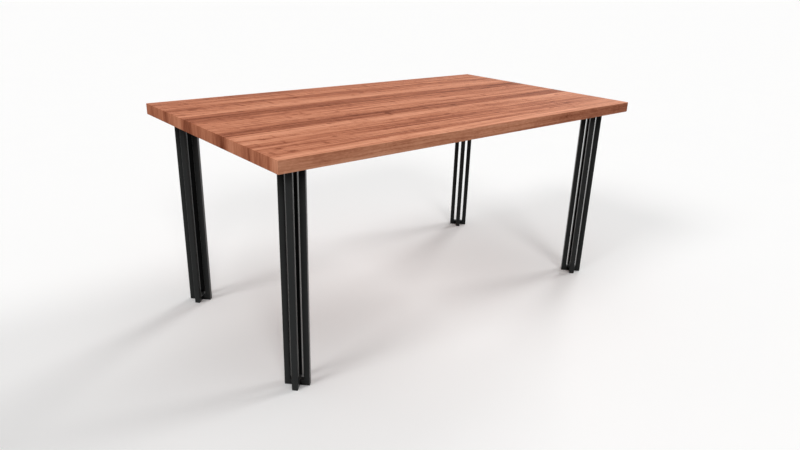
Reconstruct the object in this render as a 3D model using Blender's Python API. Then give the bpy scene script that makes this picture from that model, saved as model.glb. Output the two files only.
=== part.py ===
"""Butcher block table: a top glued up from full-length staves, on four welded steel legs.

Metres, +Z up. The origin is on the floor under the middle of the top. X runs along
the staves and Y across them, with the front at -Y. Each leg is four square tubes set
in a cross whose arms lie along the table's diagonals. Three short ties of the same
tube join the four at the floor, and a plate screwed under the top carries them.
Pieces that are glued, welded or bolted together stay one small gap apart.
"""

import math

import bmesh
import bpy
from mathutils import Matrix, Vector

# The whole table
TABLE_HEIGHT = 0.750
TOP_LENGTH = 1.600
TOP_WIDTH = 0.900
TOP_THICKNESS = 0.038
STAVE_COUNT = 12
EASED_EDGE = 0.002
JOINT_GAP = 0.0003

# The legs
LEG_INSET = 0.097
TUBE_SIZE = 0.019
TUBE_WALL = 0.0015
TUBE_INSIDE_CORNER = 0.0005
ARM_REACH = 0.030
PLATE_SIZE = 0.120
PLATE_THICKNESS = 0.005
PLATE_CORNER = 0.008
PLATE_CHAMFER = 0.0005

# The countersunk wood screws
SCREW_LENGTH = 0.032
SCREW_DIAMETER = 0.006
SCREW_HEAD_DIAMETER = 0.0115
SCREW_TIP_LENGTH = 0.006
SCREW_TIP_RADIUS = 0.0004
SCREW_EDGE_DISTANCE = 0.015
SOCKET_RADIUS = 0.0028
SOCKET_VALLEY_RADIUS = 0.0020
SOCKET_DEPTH = 0.0022
PILOT_EXTRA_DEPTH = 0.001
CUTTER_OVERRUN = 0.001

# How finely round shapes are divided
EASED_SEGMENTS = 3
TUBE_CORNER_SEGMENTS = 3
PLATE_CORNER_SEGMENTS = 6
TURNED_SEGMENTS = 16
SOCKET_LOBES = 6
SMOOTH_ANGLE = math.radians(40)
MERGE_DISTANCE = 1e-7

# Colours, as linear values. Each stave has its own tone, from the back to the front.
WOOD_COLOUR = (0.46, 0.20, 0.12)
STAVE_TONES = (1.0, 1.0, 0.98, 1.15, 0.75, 1.0, 1.03, 0.77, 1.16, 0.93, 1.0, 1.22)
WOOD_ROUGHNESS = 0.45
COATING_COLOUR = (0.018, 0.018, 0.019)
COATING_ROUGHNESS = 0.38
SCREW_COLOUR = (0.05, 0.05, 0.055)
SCREW_ROUGHNESS = 0.35
SCREW_METALLIC = 1.0

# A leg's own +X points out to the corner of the table.
LEG_SIDES = {
    "front_left": (-1, -1),
    "front_right": (1, -1),
    "back_left": (-1, 1),
    "back_right": (1, 1),
}
ARM_ANGLES = {"outer": 0, "left": 90, "inner": 180, "right": 270}
LEG_TURN = math.radians(45)

UNDERSIDE = TABLE_HEIGHT - TOP_THICKNESS
PLATE_BOTTOM = UNDERSIDE - JOINT_GAP - PLATE_THICKNESS
UPRIGHT_TOP = PLATE_BOTTOM - JOINT_GAP
MITRE_SETBACK = JOINT_GAP / 2 * math.sqrt(2)
SCREW_HOLE_RADIUS = SCREW_DIAMETER / 2 + JOINT_GAP
SCREW_OFFSET = PLATE_SIZE / 2 - SCREW_EDGE_DISTANCE


def clear_scene():
    for thing in list(bpy.data.objects):
        bpy.data.objects.remove(thing, do_unlink=True)


def plain_material(name, colour, roughness, metallic=0.0):
    material = bpy.data.materials.new(name)
    material.use_nodes = True
    shader = material.node_tree.nodes["Principled BSDF"]
    shader.inputs["Base Color"].default_value = (*colour, 1.0)
    shader.inputs["Roughness"].default_value = roughness
    shader.inputs["Metallic"].default_value = metallic
    return material


def finished_mesh(name, shape):
    """The bmesh as a mesh with its faces outwards, and smooth where it is round."""
    bmesh.ops.recalc_face_normals(shape, faces=shape.faces)
    mesh = bpy.data.meshes.new(name)
    shape.to_mesh(mesh)
    shape.free()
    mesh.shade_smooth()
    mesh.set_sharp_from_angle(angle=SMOOTH_ANGLE)
    return mesh


def place(name, mesh, location=(0, 0, 0), rotation=(0, 0, 0), parent=None):
    piece = bpy.data.objects.new(name, mesh)
    piece.location = location
    piece.rotation_euler = rotation
    piece.parent = parent
    bpy.context.scene.collection.objects.link(piece)
    return piece


def cut(mesh, cutter_mesh):
    """The mesh with the cutter's shape taken out of it, both in the same frame."""
    body = place("body", mesh)
    cutter = place("cutter", cutter_mesh)
    boolean = body.modifiers.new("cut", "BOOLEAN")
    boolean.operation = "DIFFERENCE"
    boolean.object = cutter
    graph = bpy.context.evaluated_depsgraph_get()
    result = bpy.data.meshes.new_from_object(body.evaluated_get(graph))
    bpy.data.objects.remove(body)
    bpy.data.objects.remove(cutter)
    result.set_sharp_from_angle(angle=SMOOTH_ANGLE)
    return result


def rounded_square(size, radius, segments):
    """The outline of a square with round corners, anticlockwise from +X."""
    middle = size / 2 - radius
    points = []
    for quarter, (x_side, y_side) in enumerate(((1, 1), (-1, 1), (-1, -1), (1, -1))):
        for step in range(segments + 1):
            angle = (quarter + step / segments) * math.pi / 2
            points.append(
                (x_side * middle + radius * math.cos(angle), y_side * middle + radius * math.sin(angle))
            )
    return points


def turned(profile, segments=TURNED_SEGMENTS):
    """A solid turned round Z from (radius, height) points that start and end on the axis."""
    shape = bmesh.new()
    points = [shape.verts.new((radius, 0, height)) for radius, height in profile]
    edges = [shape.edges.new(pair) for pair in zip(points, points[1:])]
    bmesh.ops.spin(
        shape,
        geom=points + edges,
        cent=(0, 0, 0),
        axis=(0, 0, 1),
        angle=math.tau,
        steps=segments,
        use_merge=True,
    )
    bmesh.ops.remove_doubles(shape, verts=shape.verts, dist=MERGE_DISTANCE)
    return shape


def extruded(outline, low, high):
    """A solid with this outline, from one height to another."""
    shape = bmesh.new()
    base = shape.faces.new([shape.verts.new((x, y, low)) for x, y in outline])
    raised = bmesh.ops.extrude_face_region(shape, geom=[base])["geom"]
    verts = [item for item in raised if isinstance(item, bmesh.types.BMVert)]
    bmesh.ops.translate(shape, verts=verts, vec=(0, 0, high - low))
    return shape


def tube_mesh(name, low_cut, high_cut):
    """A square tube along Z. Each cut gives an end's height for a distance along X."""
    outside_corner = TUBE_INSIDE_CORNER + TUBE_WALL
    outlines = (
        rounded_square(TUBE_SIZE, outside_corner, TUBE_CORNER_SEGMENTS),
        rounded_square(TUBE_SIZE - 2 * TUBE_WALL, TUBE_INSIDE_CORNER, TUBE_CORNER_SEGMENTS),
    )
    shape = bmesh.new()
    loops = [
        [shape.verts.new((x, y, end(x))) for x, y in outline]
        for outline in outlines
        for end in (low_cut, high_cut)
    ]
    outer_low, outer_high, inner_low, inner_high = loops
    count = len(outer_low)
    walls = (
        (outer_low, outer_high),
        (inner_high, inner_low),
        (inner_low, outer_low),
        (outer_high, inner_high),
    )
    for first, second in walls:
        for i in range(count):
            j = (i + 1) % count
            shape.faces.new((first[i], first[j], second[j], second[i]))
    return finished_mesh(name, shape)


def upright_mesh():
    """An upright whose foot is mitred down to the floor on its +X side."""
    return tube_mesh(
        "upright",
        lambda x: TUBE_SIZE / 2 - x + MITRE_SETBACK,
        lambda x: UPRIGHT_TOP,
    )


def mitred_end(x):
    """How far a tie reaches from the leg's axis. Its own +X side is the one on the floor."""
    return ARM_REACH + x - MITRE_SETBACK


def long_tie_mesh():
    return tube_mesh("long_tie", lambda x: -mitred_end(x), mitred_end)


def short_tie_mesh():
    """A tie from the side of the long one out to the foot of an upright."""
    return tube_mesh("short_tie", lambda x: TUBE_SIZE / 2 + JOINT_GAP, mitred_end)


def screw_head_radius(height):
    """The head's cone, at 45 degrees, by the distance from its flat face."""
    return SCREW_HEAD_DIAMETER / 2 - height


def screw_mesh():
    """A countersunk screw, its flat face at Z = 0 and its tip up, with a lobed socket."""
    shank = SCREW_DIAMETER / 2
    neck = SCREW_HEAD_DIAMETER / 2 - shank
    blank = turned(
        (
            (0, 0),
            (screw_head_radius(0), 0),
            (shank, neck),
            (shank, SCREW_LENGTH - SCREW_TIP_LENGTH),
            (SCREW_TIP_RADIUS, SCREW_LENGTH),
            (0, SCREW_LENGTH),
        )
    )
    lobes = []
    for i in range(2 * SOCKET_LOBES):
        radius = SOCKET_VALLEY_RADIUS if i % 2 else SOCKET_RADIUS
        angle = math.pi * i / SOCKET_LOBES
        lobes.append((radius * math.cos(angle), radius * math.sin(angle)))
    socket = extruded(lobes, -CUTTER_OVERRUN, SOCKET_DEPTH)
    return cut(finished_mesh("screw", blank), finished_mesh("socket", socket))


def screw_places():
    for x_side in (-1, 1):
        for y_side in (-1, 1):
            yield x_side * SCREW_OFFSET, y_side * SCREW_OFFSET


def plate_mesh():
    """The plate, its lower face at Z = 0, with a countersunk hole near each corner."""
    outline = rounded_square(PLATE_SIZE, PLATE_CORNER, PLATE_CORNER_SEGMENTS)
    plate = extruded(outline, 0, PLATE_THICKNESS)
    rims = [edge for edge in plate.edges if len({round(v.co.z, 6) for v in edge.verts}) == 1]
    bmesh.ops.bevel(plate, geom=rims, offset=PLATE_CHAMFER, segments=1, affect="EDGES")
    cone_spread = JOINT_GAP * math.sqrt(2)
    cone_end = SCREW_HEAD_DIAMETER / 2 + cone_spread - SCREW_HOLE_RADIUS
    holes = bmesh.new()
    for x, y in screw_places():
        hole = turned(
            (
                (0, -CUTTER_OVERRUN),
                (screw_head_radius(-CUTTER_OVERRUN) + cone_spread, -CUTTER_OVERRUN),
                (SCREW_HOLE_RADIUS, cone_end),
                (SCREW_HOLE_RADIUS, PLATE_THICKNESS + CUTTER_OVERRUN),
                (0, PLATE_THICKNESS + CUTTER_OVERRUN),
            )
        )
        add_shape(holes, hole, (x, y, 0))
    return cut(finished_mesh("plate", plate), finished_mesh("plate_holes", holes))


def add_shape(whole, shape, offset):
    """Copies the shape into the whole at this offset, and frees it."""
    bmesh.ops.translate(shape, verts=shape.verts, vec=offset)
    mesh = bpy.data.meshes.new("copied")
    bmesh.ops.recalc_face_normals(shape, faces=shape.faces)
    shape.to_mesh(mesh)
    shape.free()
    whole.from_mesh(mesh)


def leg_place(sides):
    """The matrix of a leg: its axis on the floor, and +X out to the table's corner."""
    x_side, y_side = sides
    x = x_side * (TOP_LENGTH / 2 - LEG_INSET)
    y = y_side * (TOP_WIDTH / 2 - LEG_INSET)
    turn = math.atan2(y_side, x_side)
    return Matrix.Translation((x, y, 0)) @ Matrix.Rotation(turn, 4, "Z")


def pilot_holes():
    """Every pilot hole in the top, in the table's own frame."""
    top = PLATE_BOTTOM + SCREW_LENGTH + PILOT_EXTRA_DEPTH
    holes = bmesh.new()
    for sides in LEG_SIDES.values():
        square_on = leg_place(sides) @ Matrix.Rotation(LEG_TURN, 4, "Z")
        for x, y in screw_places():
            hole = turned(
                (
                    (0, UNDERSIDE - CUTTER_OVERRUN),
                    (SCREW_HOLE_RADIUS, UNDERSIDE - CUTTER_OVERRUN),
                    (SCREW_HOLE_RADIUS, top),
                    (0, top),
                )
            )
            add_shape(holes, hole, square_on @ Vector((x, y, 0)))
    return finished_mesh("pilot_holes", holes)


def pilot_reach():
    """The lowest and highest distance from the top's centre line that a pilot hole takes."""
    middle = TOP_WIDTH / 2 - LEG_INSET
    return middle - SCREW_OFFSET - SCREW_HOLE_RADIUS, middle + SCREW_OFFSET + SCREW_HOLE_RADIUS


def stave_mesh(front, back, holes):
    """One stave between two distances across the table, eased where it meets the outside."""
    shape = bmesh.new()
    bmesh.ops.create_cube(shape, size=1)
    size = Vector((TOP_LENGTH, back - front, TOP_THICKNESS))
    middle = Vector((0, (front + back) / 2, UNDERSIDE + TOP_THICKNESS / 2))
    to_place = Matrix.Translation(middle) @ Matrix.Diagonal((*size, 1))
    bmesh.ops.transform(shape, matrix=to_place, verts=shape.verts)
    half_width = TOP_WIDTH / 2 - JOINT_GAP / 2
    eased = []
    for edge in shape.edges:
        on_end = all(abs(v.co.x) > TOP_LENGTH / 2 - JOINT_GAP for v in edge.verts)
        along_end = on_end and abs(edge.verts[0].co.y - edge.verts[1].co.y) > JOINT_GAP
        on_side = all(abs(v.co.y) > half_width for v in edge.verts) and not along_end
        if along_end or on_side:
            eased.append(edge)
    bmesh.ops.bevel(
        shape, geom=eased, offset=EASED_EDGE, segments=EASED_SEGMENTS, profile=0.5, affect="EDGES"
    )
    mesh = finished_mesh("stave", shape)
    near, far = pilot_reach()
    closest = min(abs(front), abs(back))
    furthest = max(abs(front), abs(back))
    return cut(mesh, holes) if furthest > near and closest < far else mesh


def make_top():
    pitch = (TOP_WIDTH + JOINT_GAP) / STAVE_COUNT
    holes = pilot_holes()
    for i in range(STAVE_COUNT):
        back = TOP_WIDTH / 2 - i * pitch
        tone = STAVE_TONES[i % len(STAVE_TONES)]
        name = f"stave_{i + 1:02d}"
        mesh = stave_mesh(back - pitch + JOINT_GAP, back, holes)
        colour = [tone * channel for channel in WOOD_COLOUR]
        mesh.materials.append(plain_material(name + "_wood", colour, WOOD_ROUGHNESS))
        place(name, mesh)


def make_leg(name, sides, meshes):
    """One leg: its plate, screws, uprights and ties, all parented to the leg's place."""
    leg = place(name + "_leg", None)
    leg.matrix_world = leg_place(sides)
    for arm, degrees in ARM_ANGLES.items():
        angle = math.radians(degrees)
        at = (ARM_REACH * math.cos(angle), ARM_REACH * math.sin(angle), 0)
        place(f"{name}_{arm}_upright", meshes["upright"], at, (0, 0, angle), leg)
    tie_height = TUBE_SIZE / 2
    flat = math.radians(90)
    place(name + "_long_tie", meshes["long_tie"], (0, 0, tie_height), (0, flat, 0), leg)
    for arm in ("left", "right"):
        angle = math.radians(ARM_ANGLES[arm])
        place(f"{name}_{arm}_tie", meshes["short_tie"], (0, 0, tie_height), (0, flat, angle), leg)
    place(name + "_plate", meshes["plate"], (0, 0, PLATE_BOTTOM), (0, 0, LEG_TURN), leg)
    square_on = Matrix.Rotation(LEG_TURN, 4, "Z")
    for number, (x, y) in enumerate(screw_places(), start=1):
        at = square_on @ Vector((x, y, PLATE_BOTTOM))
        place(f"{name}_screw_{number}", meshes["screw"], at, (0, 0, LEG_TURN), leg)


def main():
    clear_scene()
    coating = plain_material("black_powder_coat", COATING_COLOUR, COATING_ROUGHNESS)
    steel = plain_material("black_zinc_screw", SCREW_COLOUR, SCREW_ROUGHNESS, SCREW_METALLIC)
    meshes = {
        "upright": upright_mesh(),
        "long_tie": long_tie_mesh(),
        "short_tie": short_tie_mesh(),
        "plate": plate_mesh(),
        "screw": screw_mesh(),
    }
    for kind, mesh in meshes.items():
        mesh.materials.append(steel if kind == "screw" else coating)
    make_top()
    for name, sides in LEG_SIDES.items():
        make_leg(name, sides, meshes)


main()
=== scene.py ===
"""Looks for the butcher block table: boards, coated tubes and welds around the CAD frame."""

import math

import bmesh
import bpy
from mathutils import Matrix, Vector


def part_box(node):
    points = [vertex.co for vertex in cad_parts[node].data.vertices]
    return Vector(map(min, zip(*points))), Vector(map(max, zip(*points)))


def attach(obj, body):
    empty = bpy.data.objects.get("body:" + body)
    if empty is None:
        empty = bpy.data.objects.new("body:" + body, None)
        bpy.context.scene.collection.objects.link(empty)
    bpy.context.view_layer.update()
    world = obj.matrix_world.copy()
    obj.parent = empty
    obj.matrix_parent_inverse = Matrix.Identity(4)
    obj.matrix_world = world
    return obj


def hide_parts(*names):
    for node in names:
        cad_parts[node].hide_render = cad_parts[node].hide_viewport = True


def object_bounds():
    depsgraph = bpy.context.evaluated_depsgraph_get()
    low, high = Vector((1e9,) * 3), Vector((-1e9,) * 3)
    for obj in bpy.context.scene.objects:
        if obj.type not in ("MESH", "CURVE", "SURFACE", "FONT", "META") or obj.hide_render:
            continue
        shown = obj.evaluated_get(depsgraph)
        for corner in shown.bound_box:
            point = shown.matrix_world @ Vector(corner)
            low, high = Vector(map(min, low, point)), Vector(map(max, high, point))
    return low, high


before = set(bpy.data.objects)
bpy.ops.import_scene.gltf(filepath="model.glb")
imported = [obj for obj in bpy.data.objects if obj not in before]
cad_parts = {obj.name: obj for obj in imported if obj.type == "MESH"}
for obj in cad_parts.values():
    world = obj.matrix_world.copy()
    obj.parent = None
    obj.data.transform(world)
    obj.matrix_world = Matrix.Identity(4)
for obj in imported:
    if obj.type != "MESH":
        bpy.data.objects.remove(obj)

cad_low, cad_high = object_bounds()

# Camera, in the table's frame
CAMERA_PLACE = (-1.5681, -1.8118, 1.1772)
CAMERA_TURN = math.radians(40.86)
CAMERA_DIP = math.radians(20.98)
CAMERA_ROLL = math.radians(1.96)
CAMERA_LENS = 28.68
CAMERA_SENSOR = 36.0
CAMERA_REACH = 500

# Light. A lamp is (name, azimuth, elevation, spread, share of the floor's light); azimuths run
# from +X towards +Y. All the shares with the dome's make 1.
DOME_SHARE = 0.32
LAMPS = (
    ("right_back", 24, 29, 18, 0.13),
    ("left", 181, 34, 19, 0.165),
    ("front_left", 246, 30, 19, 0.125),
    ("right_front", 350, 32, 19, 0.15),
    ("overhead", 0, 89, 60, 0.11),
)

# Floor and backdrop. The bounce is the floor's colour for the light that it sends to the table.
FLOOR_HALF_SIZE = 150
FLOOR_TONES = (0.978, 0.976, 0.973, 1.0), (0.983, 0.980, 0.976, 1.0)
FLOOR_BOUNCE = (0.45, 0.45, 0.45, 1.0)
BACKDROP = (0.98, 0.98, 0.98, 1.0)

# Boards
STAVES = sorted(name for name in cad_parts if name.startswith("stave_"))
EASED_EDGE = 0.002
EASED_SEGMENTS = 6
SAME_PLACE = 1e-5

# Legs
LEGS = ("front_left", "front_right", "back_left", "back_right")
ARMS = ("outer", "left", "inner", "right")
TUBE_WALL = 0.0015
TUBE_CORNER = 0.002
TUBE_INSIDE_CORNER = 0.0005
CORNER_SEGMENTS = 6
HEAD_WELD_RADIUS = 0.0022
FOOT_WELD_RADIUS = 0.0012
WELD_RIPPLE = 0.0035
WELD_RIPPLE_SHARE = 0.10
WELD_STEPS = 4
WELD_SIDES = 8
WELD_END = 0.35
SHARP_ANGLE = math.radians(35)

# Wood. A tone of 1 is the middle colour, and what is added to it lightens or darkens the wood.
TONE_COLOURS = (
    (0.40, (0.165, 0.044, 0.020)),
    (0.70, (0.355, 0.114, 0.060)),
    (1.00, (0.525, 0.198, 0.108)),
    (1.25, (0.655, 0.277, 0.161)),
    (1.60, (0.800, 0.372, 0.235)),
)
# Bands: (metres from the back edge at mid-length, tone).
GRAIN_BANDS = (
    (0.000, 1.02), (0.025, 0.88), (0.060, 1.02), (0.085, 0.96), (0.118, 1.08), (0.143, 0.77),
    (0.158, 0.80), (0.180, 1.02), (0.215, 1.10), (0.250, 1.26), (0.272, 1.16), (0.298, 0.72),
    (0.312, 0.65), (0.345, 0.66), (0.368, 0.88), (0.410, 0.96), (0.450, 1.06), (0.520, 1.00),
    (0.546, 0.67), (0.578, 0.65), (0.606, 1.24), (0.635, 1.24), (0.655, 1.10), (0.690, 1.06),
    (0.725, 0.79), (0.750, 1.02), (0.780, 0.94), (0.812, 1.02), (0.835, 0.93), (0.862, 1.36),
    (0.900, 1.24),
)
BAND_SLOPE = 0.010
BAND_BEND = 0.026
BAND_WANDER = 0.008
BAND_SMALL_WANDER = 0.006
# Painted sheen: the top's tone is painted lighter towards the right end.
PAINTED_SHEEN_LIFT = 0.04
PAINTED_SHEEN_SPAN = 0.2, 0.75
# Streaks along the grain, from broad to hairline: (cells to a metre, detail, roughness, depth).
STREAKS = (
    ((0.8, 45.0, 45.0), 3.0, 0.60, 0.30),
    ((1.7, 100.0, 100.0), 4.0, 0.65, 0.95),
    ((2.6, 210.0, 210.0), 5.0, 0.62, 0.80),
    ((9.0, 900.0, 900.0), 3.0, 0.60, 0.40),
)
STREAK_BASE = -0.015
STREAK_WARP = 0.012
RIPPLE_DEPTH = 0.12
PORE_CELLS = (70.0, 1700.0, 1700.0)
PORE_DEPTH = -0.20
# Flecks, and ticks across the grain: (cells to a metre, reach in cells, share left out, depth).
FLECKS = (
    ((7.0, 16.0, 0.0), 0.15, 0.10, -0.44),
    ((17.0, 36.0, 0.0), 0.18, 0.05, -0.36),
    ((12.0, 4.2, 0.0), 0.10, 0.05, -0.36),
)
FLECK_RAGGED = 0.014, -0.006
# The long sides
SIDE_TONE = 1.27
SIDE_FIGURE = 0.36
SIDE_SHADE = -0.28
SIDE_SHADE_SPAN = 0.02, 0.44
SIDE_MARKS_CUT = -0.5
SIDE_STREAKS_CUT = -0.6
SIDE_MOTTLE = 0.26
SIDE_TINT = (0.98, 1.06, 1.09, 1.0)
# The ends: streaks are (cells to a metre, depth). The few cells along X give each stave, and
# each end of it, streaks of its own.
END_TONE = -0.11
END_STREAKS = (
    ((0.7, 60.0, 9.0), 0.32),
    ((0.7, 260.0, 20.0), 0.34),
    ((0.7, 1200.0, 1200.0), 0.20),
)
RING_PITCH = 0.0042
RING_DEPTH = 0.030
RING_WANDER = 0.012
PITH_BELOW_TOP = 0.16
# Glue lines
GLUE_HALF_WIDTH = 0.0001, 0.0006
GLUE_DEPTH = -0.22

# Powder coat
COAT_DARK = (0.020, 0.0210, 0.0207, 1.0)
COAT_LIGHT = (0.044, 0.0455, 0.045, 1.0)
SCUFF_HEIGHT = 0.05
# Painted shade: the coat is painted near black where the tubes close in on each other.
PAINTED_SHADE_COLOUR = (0.001, 0.001, 0.001, 1.0)
PAINTED_SHADE_REACH = 0.12
PAINTED_SHADE_OPEN = 0.50, 0.87

# Black zinc on the screws
ZINC_DARK = (0.03, 0.03, 0.033, 1.0)
ZINC_WORN = (0.12, 0.12, 0.125, 1.0)

WHITE = (1.0, 1.0, 1.0, 1.0)


class Graph:
    """One material's nodes. Each method adds nodes and returns the output they make."""

    def __init__(self, name):
        self.material = bpy.data.materials.new(name)
        self.material.use_nodes = True
        self.tree = self.material.node_tree
        self.shader = self.tree.nodes["Principled BSDF"]

    def node(self, kind, inputs=None, **settings):
        node = self.tree.nodes.new(kind)
        for key, value in settings.items():
            setattr(node, key, value)
        for key, value in (inputs or {}).items():
            self.feed(node.inputs[key], value)
        return node

    def feed(self, socket, value):
        if isinstance(value, bpy.types.NodeSocket):
            self.tree.links.new(value, socket)
        else:
            socket.default_value = value

    def math(self, operation, a, b=0.0, c=0.0, clamp=False):
        inputs = {0: a, 1: b, 2: c}
        node = self.node("ShaderNodeMath", inputs, operation=operation, use_clamp=clamp)
        return node.outputs[0]

    def add_scaled(self, value, factor, base):
        """value * factor + base"""
        return self.math("MULTIPLY_ADD", value, factor, base)

    def vector(self, operation, a, b):
        return self.node("ShaderNodeVectorMath", {0: a, 1: b}, operation=operation).outputs[0]

    def join(self, x, y, z):
        return self.node("ShaderNodeCombineXYZ", {0: x, 1: y, 2: z}).outputs[0]

    def split(self, vector):
        return self.node("ShaderNodeSeparateXYZ", {0: vector}).outputs

    def noise(self, vector, cells, detail=2.0, roughness=0.5):
        """Noise from -1 to 1, with its own count of cells to a metre along each axis."""
        stretched = self.vector("MULTIPLY", vector, cells)
        inputs = {"Vector": stretched, "Scale": 1.0, "Detail": detail, "Roughness": roughness}
        node = self.node("ShaderNodeTexNoise", inputs, noise_dimensions="3D")
        return self.add_scaled(node.outputs["Fac"], 2.0, -1.0)

    def remap(self, value, low, high, to_low=0.0, to_high=1.0):
        """A smooth step from low to high."""
        inputs = {"Value": value, "From Min": low, "From Max": high}
        inputs.update({"To Min": to_low, "To Max": to_high})
        node = self.node("ShaderNodeMapRange", inputs, interpolation_type="SMOOTHSTEP")
        return node.outputs[0]

    def ramp(self, value, stops):
        """A colour ramp through (position, colour) stops."""
        node = self.node("ShaderNodeValToRGB", {0: value})
        points = node.color_ramp.elements
        while len(points) < len(stops):
            points.new(1.0)
        for point, (position, colour) in zip(points, stops):
            point.position = position
            point.color = (*colour, 1.0)
        return node.outputs["Color"]

    def mix(self, factor, a, b, blend="MIX"):
        node = self.node("ShaderNodeMix", data_type="RGBA", blend_type=blend)
        self.feed(node.inputs["Factor"], factor)
        self.feed(node.inputs["A"], a)
        self.feed(node.inputs["B"], b)
        return node.outputs["Result"]

    def bump(self, height, distance, strength):
        inputs = {"Height": height, "Distance": distance, "Strength": strength}
        return self.node("ShaderNodeBump", inputs).outputs["Normal"]

    def finish(self, **values):
        for key, value in values.items():
            self.feed(self.shader.inputs[key.replace("_", " ")], value)
        return self.material


def wood_bands(g, x, from_back, width, wander, small_wander):
    """The tone of the broad bands, which bow and wander slowly along the length, with a painted
    sheen that lightens them towards the right end.
    """
    bow = g.math("MULTIPLY", x, g.add_scaled(x, -BAND_BEND, BAND_SLOPE))
    across = g.math("ADD", bow, from_back)
    across = g.add_scaled(wander, BAND_WANDER, across)
    across = g.add_scaled(small_wander, BAND_SMALL_WANDER, across)
    share = g.math("DIVIDE", across, width, clamp=True)
    # The ramp holds half of each tone, so that no stop passes 1.
    last = GRAIN_BANDS[-1][0]
    band = g.ramp(share, [(at / last, (tone / 2,) * 3) for at, tone in GRAIN_BANDS])
    band = g.math("MULTIPLY", band, 2.0)
    # Painted sheen towards the right end.
    return g.add_scaled(g.remap(x, *PAINTED_SHEEN_SPAN), PAINTED_SHEEN_LIFT, band)


def wood_side_tone(g, x, place):
    """One slow figure for each long side, darker towards the right end."""
    figure = g.noise(place, (1.6, 0.0, 40.0), 3.0, 0.6)
    tone = g.add_scaled(figure, SIDE_FIGURE, SIDE_TONE)
    return g.add_scaled(g.remap(x, *SIDE_SHADE_SPAN), SIDE_SHADE, tone)


def wood_marks(g, x, y, z, place, pores):
    """The depth of the open pores, the dark flecks and the short ticks across the grain."""
    marks = g.math("MULTIPLY", pores, PORE_DEPTH)
    ragged = g.noise(place, (90.0, 160.0, 160.0), 2.0)
    shift = g.join(*(g.math("MULTIPLY", ragged, amount) for amount in FLECK_RAGGED), 0.0)
    along_face = g.vector("ADD", g.join(x, g.math("ADD", y, z), 0.0), shift)
    for cells, reach, share_left_out, depth in FLECKS:
        inputs = {"Vector": g.vector("MULTIPLY", along_face, cells), "Scale": 1.0}
        spots = g.node("ShaderNodeTexVoronoi", inputs, voronoi_dimensions="2D").outputs
        near = g.remap(spots["Distance"], 0.2 * reach, reach, 1.0, 0.0)
        strength = g.remap(g.split(spots["Color"])[0], share_left_out, 1.0)
        marks = g.add_scaled(g.math("MULTIPLY", near, strength), depth, marks)
    return marks


def wood_end_grain(g, in_staves, pitch, z, own, small_wander):
    """Streaks that run down the end face, and growth rings round a pith below each stave."""
    ring_y = g.math("MULTIPLY", g.math("SUBTRACT", g.math("FRACT", in_staves), 0.5), pitch)
    ring_z = g.math("SUBTRACT", z, cad_high.z - PITH_BELOW_TOP)
    spoke = g.node("ShaderNodeVectorMath", {0: g.join(0.0, ring_y, ring_z)}, operation="LENGTH")
    radius = g.add_scaled(small_wander, RING_WANDER, spoke.outputs["Value"])
    rings = g.math("SINE", g.math("MULTIPLY", radius, math.tau / RING_PITCH))
    end_grain = g.add_scaled(rings, RING_DEPTH, END_TONE)
    for cells, depth in END_STREAKS:
        end_grain = g.add_scaled(g.noise(own, cells, 3.0, 0.6), depth, end_grain)
    return end_grain


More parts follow.
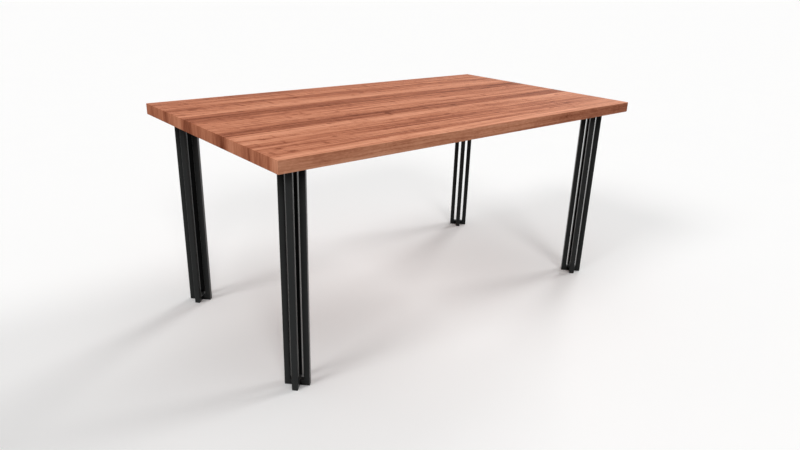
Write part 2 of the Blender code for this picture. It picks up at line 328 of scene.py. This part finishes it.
def wood_material():
    """Reddish brown hardwood in glued staves, with end grain on its ends."""
    g = Graph("staved_hardwood")
    coordinates = g.node("ShaderNodeTexCoord").outputs
    place = coordinates["Object"]
    x, y, z = g.split(place)
    normal_x, normal_y, _ = g.split(coordinates["Normal"])
    side = g.remap(g.math("ABSOLUTE", normal_y), 0.5, 0.9)
    end = g.remap(g.math("ABSOLUTE", normal_x), 0.5, 0.9)
    width = cad_high.y - cad_low.y
    pitch = width / len(STAVES)

    # Each stave is cut from its own part of the grain.
    from_back = g.math("SUBTRACT", cad_high.y, y)
    in_staves = g.math("DIVIDE", from_back, pitch)
    number = g.math("FLOOR", in_staves)
    jump = g.join(g.math("MULTIPLY", number, 3.7), 0.0, g.math("MULTIPLY", number, 0.31))
    own = g.vector("ADD", place, jump)

    wander = g.noise(place, (1.1, 2.5, 2.5), 1.0)
    small_wander = g.noise(own, (5.0, 22.0, 22.0), 2.0)
    band = wood_bands(g, x, from_back, width, wander, small_wander)
    side_tone = wood_side_tone(g, x, place)
    tone = g.math("ADD", band, g.math("MULTIPLY", side, g.math("SUBTRACT", side_tone, band)))

    warp = g.math("MULTIPLY", g.noise(own, (2.0, 9.0, 9.0), 2.0), STREAK_WARP)
    grain = g.vector("ADD", own, g.join(0.0, warp, warp))
    layers = [g.noise(grain, cells, detail, roughness) for cells, detail, roughness, _ in STREAKS]
    long_grain = STREAK_BASE
    for layer, (*_, depth) in zip(layers, STREAKS):
        long_grain = g.add_scaled(layer, depth, long_grain)
    fine, hair = layers[2:]
    ripple = g.noise(own, (60.0, 8.0, 8.0), 2.0)
    long_grain = g.add_scaled(ripple, RIPPLE_DEPTH, long_grain)

    # The long sides are calmer, with a mottle of their own.
    pores = g.remap(g.noise(own, PORE_CELLS, 1.0), 0.10, 0.45)
    marks = wood_marks(g, x, y, z, place, pores)
    long_grain = g.add_scaled(marks, g.add_scaled(side, SIDE_MARKS_CUT, 1.0), long_grain)
    long_grain = g.math("MULTIPLY", long_grain, g.add_scaled(side, SIDE_STREAKS_CUT, 1.0))
    coarse_mottle = g.noise(place, (12.0, 12.0, 40.0), 4.0, 0.6)
    fine_mottle = g.noise(place, (90.0, 90.0, 260.0), 3.0, 0.6)
    mottle = g.math("MULTIPLY", g.math("ADD", coarse_mottle, fine_mottle), side)
    long_grain = g.add_scaled(mottle, SIDE_MOTTLE, long_grain)

    end_grain = wood_end_grain(g, in_staves, pitch, z, own, small_wander)
    tone = g.add_scaled(g.math("SUBTRACT", 1.0, end), long_grain, tone)
    tone = g.add_scaled(end, end_grain, tone)

    off_line = g.math("ABSOLUTE", g.math("SUBTRACT", in_staves, g.math("ROUND", in_staves)))
    glue = g.remap(g.math("MULTIPLY", off_line, pitch), *GLUE_HALF_WIDTH, 1.0, 0.0)
    tone = g.add_scaled(glue, GLUE_DEPTH, tone)

    low, high = TONE_COLOURS[0][0], TONE_COLOURS[-1][0]
    share = g.math("DIVIDE", g.math("SUBTRACT", tone, low), high - low, clamp=True)
    colour = g.ramp(share, [((at - low) / (high - low), rgb) for at, rgb in TONE_COLOURS])
    colour = g.mix(1.0, colour, g.mix(side, WHITE, SIDE_TINT), "MULTIPLY")

    rough = g.add_scaled(fine, 0.10, 0.56)
    rough = g.add_scaled(pores, 0.15, rough)
    rough = g.add_scaled(end, 0.14, rough)
    height = g.add_scaled(pores, -0.8, g.add_scaled(hair, 0.3, fine))
    height = g.add_scaled(glue, -0.6, height)
    normal = g.bump(height, 0.00012, 0.6)
    return g.finish(Base_Color=colour, Roughness=rough, Normal=normal, Specular_IOR_Level=0.015)


def coating_material():
    """Black satin powder coat with a fine orange peel, scuffed a little near the floor, and with
    painted shade between the tubes.
    """
    g = Graph("black_powder_coat")
    place = g.node("ShaderNodeTexCoord").outputs["Object"]
    above_floor = g.split(place)[2]
    peel = g.noise(place, (900.0, 900.0, 900.0), 2.0)
    cloud = g.noise(place, (30.0, 30.0, 12.0), 3.0)
    scuffs = g.remap(g.noise(place, (160.0, 160.0, 60.0), 4.0, 0.65), 0.25, 0.6)
    scuffs = g.math("MULTIPLY", scuffs, g.remap(above_floor, 0.0, SCUFF_HEIGHT, 1.0, 0.0))
    amount = g.math("MULTIPLY_ADD", cloud, 0.12, g.add_scaled(scuffs, 0.5, 0.3), clamp=True)
    colour = g.mix(amount, COAT_DARK, COAT_LIGHT)

    # Painted shade: the coat is painted near black between the tubes, where the AO node finds
    # other faces close by. The floor alone closes half of what a low face sees.
    painted_shade_ao = g.node("ShaderNodeAmbientOcclusion", {"Distance": PAINTED_SHADE_REACH}, samples=8)
    open_share = g.math(
        "DIVIDE", painted_shade_ao.outputs["AO"], g.remap(above_floor, 0.0, PAINTED_SHADE_REACH, 0.5, 1.0)
    )
    colour = g.mix(g.remap(open_share, *PAINTED_SHADE_OPEN), PAINTED_SHADE_COLOUR, colour)

    rough = g.add_scaled(cloud, 0.04, 0.29)
    rough = g.add_scaled(peel, 0.03, rough)
    rough = g.add_scaled(scuffs, 0.15, rough)
    return g.finish(
        Base_Color=colour, Roughness=rough, Normal=g.bump(peel, 0.00002, 0.4), IOR=1.42,
        Specular_Tint=(0.08, 0.08, 0.08, 1.0),
    )


def zinc_material():
    """Black zinc plating, with turning marks worn a little brighter."""
    g = Graph("black_zinc")
    place = g.node("ShaderNodeTexCoord").outputs["Object"]
    marks = g.noise(place, (1500.0, 1500.0, 1500.0), 4.0, 0.7)
    colour = g.mix(g.remap(marks, -0.2, 0.6), ZINC_DARK, ZINC_WORN)
    rough = g.add_scaled(marks, 0.12, 0.38)
    normal = g.bump(marks, 0.00003, 0.5)
    return g.finish(Base_Color=colour, Roughness=rough, Metallic=1.0, Normal=normal)


def mesh_piece(name, shape, material, nodes=()):
    """Turns a bmesh into a piece on the root body, standing for these CAD nodes."""
    bmesh.ops.recalc_face_normals(shape, faces=shape.faces)
    mesh = bpy.data.meshes.new(name)
    shape.to_mesh(mesh)
    shape.free()
    mesh.shade_smooth()
    mesh.set_sharp_from_angle(angle=SHARP_ANGLE)
    mesh.materials.append(material)
    piece = bpy.data.objects.new(name, mesh)
    bpy.context.scene.collection.objects.link(piece)
    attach(piece, "root")
    if nodes:
        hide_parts(*nodes)
    return piece


def make_board(node, material):
    """A full-length board that meets its neighbours, with eased edges on the table's outside."""
    low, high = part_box(node)
    gap = (cad_high.y - cad_low.y) / len(STAVES) - (high.y - low.y)
    low.y = max(low.y - gap / 2, cad_low.y)
    high.y = min(high.y + gap / 2, cad_high.y)
    shape = bmesh.new()
    bmesh.ops.create_cube(shape, size=1)
    place = Matrix.Translation((low + high) / 2) @ Matrix.Diagonal((*(high - low), 1))
    bmesh.ops.transform(shape, matrix=place, verts=shape.verts)

    def on_outside(point):
        return min(abs(point.y - cad_low.y), abs(point.y - cad_high.y)) < SAME_PLACE

    eased = []
    for edge in shape.edges:
        first, second = (v.co for v in edge.verts)
        across_end = abs(first.y - second.y) > SAME_PLACE
        if across_end or (on_outside(first) and on_outside(second)):
            eased.append(edge)
    bmesh.ops.bevel(
        shape, geom=eased, offset=EASED_EDGE, segments=EASED_SEGMENTS, profile=0.5,
        affect="EDGES",
    )
    mesh_piece(node.replace("stave", "board"), shape, material, [node])


def rounded_square(size, radius):
    """The outline of a square with round corners, anticlockwise."""
    middle = size / 2 - radius
    for quarter, (x_side, y_side) in enumerate(((1, 1), (-1, 1), (-1, -1), (1, -1))):
        for step in range(CORNER_SEGMENTS + 1):
            angle = (quarter + step / CORNER_SEGMENTS) * math.pi / 2
            x = x_side * middle + radius * math.cos(angle)
            y = y_side * middle + radius * math.sin(angle)
            yield x, y


def tube(place, size, low_cut, high_cut):
    """A square tube along its own Z. Each cut gives an end's height for a distance along X."""
    shape = bmesh.new()

    def ring(outline, cut):
        return [shape.verts.new(place @ Vector((x, y, cut(x)))) for x, y in outline]

    outer = list(rounded_square(size, TUBE_CORNER))
    inner = list(rounded_square(size - 2 * TUBE_WALL, TUBE_INSIDE_CORNER))
    outer_low, outer_high = ring(outer, low_cut), ring(outer, high_cut)
    inner_low, inner_high = ring(inner, low_cut), ring(inner, high_cut)
    walls = (
        (outer_low, outer_high),
        (inner_high, inner_low),
        (inner_low, outer_low),
        (outer_high, inner_high),
    )
    for first, second in walls:
        join_rings(shape, first, second)
    return shape


def join_rings(shape, first, second):
    """Adds a band of faces between two closed rings of vertices."""
    for i in range(len(first)):
        j = (i + 1) % len(first)
        shape.faces.new((first[i], first[j], second[j], second[i]))


def weld_bead(shape, start, end, normal, radius):
    """A rippled bead of weld from start to end, half sunk into the corner behind its normal."""
    along = (end - start).normalized()
    side = along.cross(normal).normalized()
    length = (end - start).length
    steps = max(WELD_STEPS, round(length / WELD_RIPPLE) * WELD_STEPS)
    rings = []
    for i in range(steps + 1):
        at = i / steps
        ripple = 1 + WELD_RIPPLE_SHARE * math.cos(math.tau * at * length / WELD_RIPPLE)
        taper = min(1.0, 4 * at + WELD_END, 4 * (1 - at) + WELD_END)
        middle = start + along * (length * at)
        ring = []
        for k in range(WELD_SIDES):
            angle = math.tau * k / WELD_SIDES
            offset = side * math.cos(angle) + normal * math.sin(angle)
            ring.append(shape.verts.new(middle + offset * (radius * ripple * taper)))
        rings.append(ring)
    for first, second in zip(rings, rings[1:]):
        join_rings(shape, first, second)
    shape.faces.new(rings[0])
    shape.faces.new(rings[-1])


def make_leg(leg, material):
    """The seven tubes of a leg, mitred tight, and the welds at its head and foot."""
    low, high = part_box(leg + "_long_tie")
    size = high.z - low.z
    axis = (low + high) / 2
    axis.z = 0
    plate_low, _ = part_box(leg + "_plate")
    up = Vector((0, 0, 1))
    flat = size / 2 - TUBE_CORNER
    head_welds = bmesh.new()
    foot_welds = bmesh.new()
    for arm in ARMS:
        node = f"{leg}_{arm}_upright"
        node_low, node_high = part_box(node)
        at = (node_low + node_high) / 2
        out = Vector((at.x - axis.x, at.y - axis.y, 0))
        reach = out.length
        out.normalize()
        across = Vector((-out.y, out.x, 0))
        turn = Matrix.Rotation(math.atan2(out.y, out.x), 4, "Z")
        place = Matrix.Translation((at.x, at.y, 0)) @ turn
        shape = tube(place, size, lambda x: size / 2 - x, lambda x: plate_low.z)
        name = node.replace("upright", "post")
        mesh_piece(name, shape, material, [node])

        head = place @ Vector((0, 0, plate_low.z))
        for normal, along in ((out, across), (-out, across), (across, out), (-across, out)):
            middle = head + normal * (size / 2)
            facing = (normal - up).normalized()
            start, end = middle - along * flat, middle + along * flat
            weld_bead(head_welds, start, end, facing, HEAD_WELD_RADIUS)
        corner = Vector((axis.x, axis.y, size)) + out * (reach - size / 2)
        facing = (up - out).normalized()
        start, end = corner - across * flat, corner + across * flat
        weld_bead(foot_welds, start, end, facing, FOOT_WELD_RADIUS)

        if arm in ("left", "right"):
            make_tie(leg, arm, axis, out, size, lambda x: size / 2, reach, material)
        elif arm == "outer":
            make_tie(leg, "long", axis, out, size, lambda x: -(reach + x), reach, material)
    mesh_piece(leg + "_head_welds", head_welds, material)
    mesh_piece(leg + "_foot_welds", foot_welds, material)


def make_tie(leg, arm, axis, out, size, inner_cut, reach, material):
    """A tie on the floor that runs outwards from a leg's axis, mitred at its outer end."""
    down = Vector((0, 0, -1))
    across = out.cross(down)
    turn = Matrix((down, across, out)).transposed().to_4x4()
    place = Matrix.Translation(axis + Vector((0, 0, size / 2))) @ turn
    shape = tube(place, size, inner_cut, lambda x: reach + x)
    name, node = f"{leg}_{arm}_foot_bar", f"{leg}_{arm}_tie"
    mesh_piece(name, shape, material, [node])


def dress_cad_nodes(coating, zinc):
    """The plates and screws keep their CAD shapes and take their finishes."""
    for name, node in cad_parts.items():
        if "_plate" in name or "_screw" in name:
            node.data.materials.clear()
            node.data.materials.append(coating if "_plate" in name else zinc)


def make_camera():
    data = bpy.data.cameras.new("camera")
    data.lens = CAMERA_LENS
    data.sensor_width = CAMERA_SENSOR
    data.clip_end = CAMERA_REACH
    camera = bpy.data.objects.new("camera", data)
    bpy.context.scene.collection.objects.link(camera)
    turn = Matrix.Rotation(-CAMERA_TURN, 4, "Z")
    tip = Matrix.Rotation(math.pi / 2 - CAMERA_DIP, 4, "X")
    roll = Matrix.Rotation(CAMERA_ROLL, 4, "Z")
    camera.matrix_world = Matrix.Translation(CAMERA_PLACE) @ turn @ tip @ roll
    bpy.context.scene.camera = camera


def seen_ray(tree):
    """An output that is 1 for a ray from the camera, a reflection or a transmission."""
    path = tree.nodes.new("ShaderNodeLightPath")
    total = path.outputs["Is Camera Ray"]
    for name in ("Is Glossy Ray", "Is Transmission Ray"):
        add = tree.nodes.new("ShaderNodeMath")
        add.operation = "ADD"
        add.use_clamp = True
        tree.links.new(total, add.inputs[0])
        tree.links.new(path.outputs[name], add.inputs[1])
        total = add.outputs[0]
    return total


def make_floor():
    shape = bmesh.new()
    bmesh.ops.create_grid(shape, x_segments=8, y_segments=8, size=FLOOR_HALF_SIZE)
    mesh = bpy.data.meshes.new("floor")
    shape.to_mesh(mesh)
    shape.free()
    floor = bpy.data.objects.new("floor", mesh)
    bpy.context.scene.collection.objects.link(floor)
    g = Graph("pale_floor")
    place = g.node("ShaderNodeTexCoord").outputs["Object"]
    mottle = g.noise(place, (3.0, 3.0, 3.0), 4.0)
    pale = g.mix(g.remap(mottle, -0.5, 0.5), *FLOOR_TONES)
    colour = g.mix(seen_ray(g.tree), FLOOR_BOUNCE, pale)
    mesh.materials.append(g.finish(Base_Color=colour, Roughness=1.0, Specular_IOR_Level=0.0))


def make_sun(name, azimuth, elevation, spread, share):
    """A soft distant light that gives the floor its share of light."""
    azimuth, elevation = math.radians(azimuth), math.radians(elevation)
    data = bpy.data.lights.new(name, "SUN")
    data.energy = share * math.pi / math.sin(elevation)
    data.angle = math.radians(spread)
    lamp = bpy.data.objects.new(name, data)
    bpy.context.scene.collection.objects.link(lamp)
    level = math.cos(elevation)
    towards = Vector((level * math.cos(azimuth), level * math.sin(azimuth), math.sin(elevation)))
    lamp.rotation_euler = towards.to_track_quat("Z", "Y").to_euler()


def make_light():
    """The lamps, and a world that lights as a dim dome and is seen as a pale backdrop."""
    world = bpy.data.worlds.new("studio")
    bpy.context.scene.world = world
    world.use_nodes = True
    tree = world.node_tree
    dome = tree.nodes["Background"]
    dome.inputs["Color"].default_value = WHITE
    dome.inputs["Strength"].default_value = DOME_SHARE
    backdrop = tree.nodes.new("ShaderNodeBackground")
    backdrop.inputs["Color"].default_value = BACKDROP
    choice = tree.nodes.new("ShaderNodeMixShader")
    tree.links.new(seen_ray(tree), choice.inputs[0])
    tree.links.new(dome.outputs[0], choice.inputs[1])
    tree.links.new(backdrop.outputs[0], choice.inputs[2])
    tree.links.new(choice.outputs[0], tree.nodes["World Output"].inputs["Surface"])
    for lamp in LAMPS:
        make_sun(*lamp)


def main():
    wood = wood_material()
    coating = coating_material()
    make_camera()
    for node in STAVES:
        make_board(node, wood)
    for leg in LEGS:
        make_leg(leg, coating)
    dress_cad_nodes(coating, zinc_material())
    make_floor()
    make_light()
    bpy.context.scene.view_settings.view_transform = "Standard"


main()
